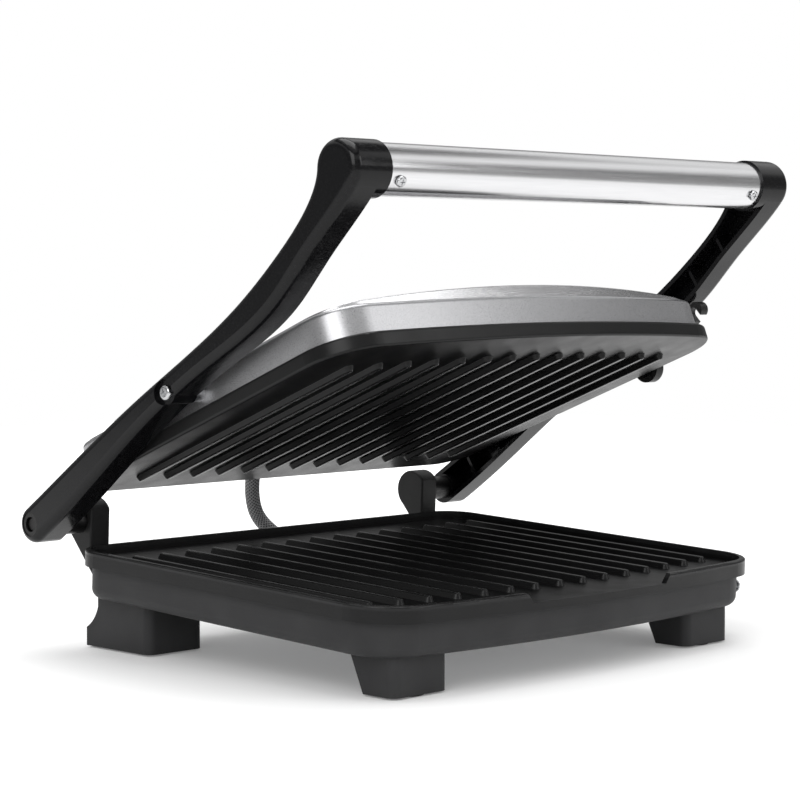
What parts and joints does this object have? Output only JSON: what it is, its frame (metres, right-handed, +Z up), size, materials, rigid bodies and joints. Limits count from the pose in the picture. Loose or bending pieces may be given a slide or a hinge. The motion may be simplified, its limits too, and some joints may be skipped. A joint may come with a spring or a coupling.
{
  "type": "electric sandwich press",
  "caption": "Hinged contact grill with two meshing ribbed plates, a floating lid on two side arms, a cross tube handle and a lock latch.",
  "frame": {"origin": "on the resting surface, under the middle of the bounding box", "axes": "+Z up, the front with the handle faces -Y, +X is to the right seen from the front"},
  "size_m": [0.336, 0.277, 0.2657],
  "materials": {
    "textured_black_cast": "cast aluminium with a rough black non-stick coat",
    "housing_plastic": "matte dark grey heat-proof plastic",
    "gloss_black": "glossy black moulded plastic",
    "satin_aluminium": "satin anodised tube",
    "silver_paint": "silver painted shell",
    "brushed_stainless": "brushed stainless sheet",
    "bright_steel": "bright zinc plated steel",
    "plain_steel": "plain steel",
    "pad_rubber": "soft black rubber",
    "element_sheath": "dull heat-darkened metal sheath",
    "insulator": "cream glazed ceramic",
    "braid": "grey glass-fibre braid",
    "grommet_rubber": "heat-proof black rubber"
  },
  "bodies": {
    "base": {"base_housing": "housing_plastic", "base_bottom_cover": "plain_steel", "bottom_cover_screws": "bright_steel", "front_feet": "housing_plastic", "rear_feet": "housing_plastic", "foot_pads": "pad_rubber", "lower_plate": "textured_black_cast", "lower_element": "element_sheath", "lower_element_clips": "plain_steel", "thermostat": "insulator", "terminal_block": "insulator", "cord_inlet": "grommet_rubber", "base_jumper_grommet": "grommet_rubber", "hinge_posts": "textured_black_cast", "hinge_pins": "bright_steel", "hinge_washers": "bright_steel", "lock_stud": "bright_steel", "jumper_sleeve": "braid"},
    "handle": {"arm_left": "gloss_black", "arm_right": "gloss_black", "hinge_bushes": "bright_steel", "handle_tube": "satin_aluminium", "tube_screws": "bright_steel", "latch_pin": "bright_steel"},
    "latch": {"lock_latch": "gloss_black"},
    "lid": {"upper_plate": "textured_black_cast", "lid_bezel": "silver_paint", "lid_top_panel": "brushed_stainless", "lid_brackets": "plain_steel", "lid_pivot_screws": "bright_steel", "lid_pivot_spacers": "bright_steel", "upper_element": "element_sheath", "upper_element_clips": "plain_steel", "thermal_fuse": "insulator", "lid_jumper_grommet": "grommet_rubber"}
  },
  "joints": [
    {"name": "handle_hinge", "type": "hinge", "parent": "base", "child": "handle", "pos_m": [0, 0.11926, 0.06962], "axis": [-1, 0, 0], "range_deg": [-32.8, 72], "deforming": ["jumper_sleeve"]},
    {"name": "lid_hinge", "type": "hinge", "parent": "handle", "child": "lid", "pos_m": [0, 0.0071, 0.14386], "axis": [-1, 0, 0], "range_deg": [-19.84, 9.1], "deforming": ["jumper_sleeve"]},
    {"name": "latch_hinge", "type": "hinge", "parent": "handle", "child": "latch", "pos_m": [0, -0.04176, 0.14885], "axis": [1, 0, 0], "range_deg": [0, 38.68]}
  ],
  "couplings": [
    {"joint": "lid_hinge", "follows": "handle_hinge", "ratio": -0.27348}
  ]
}
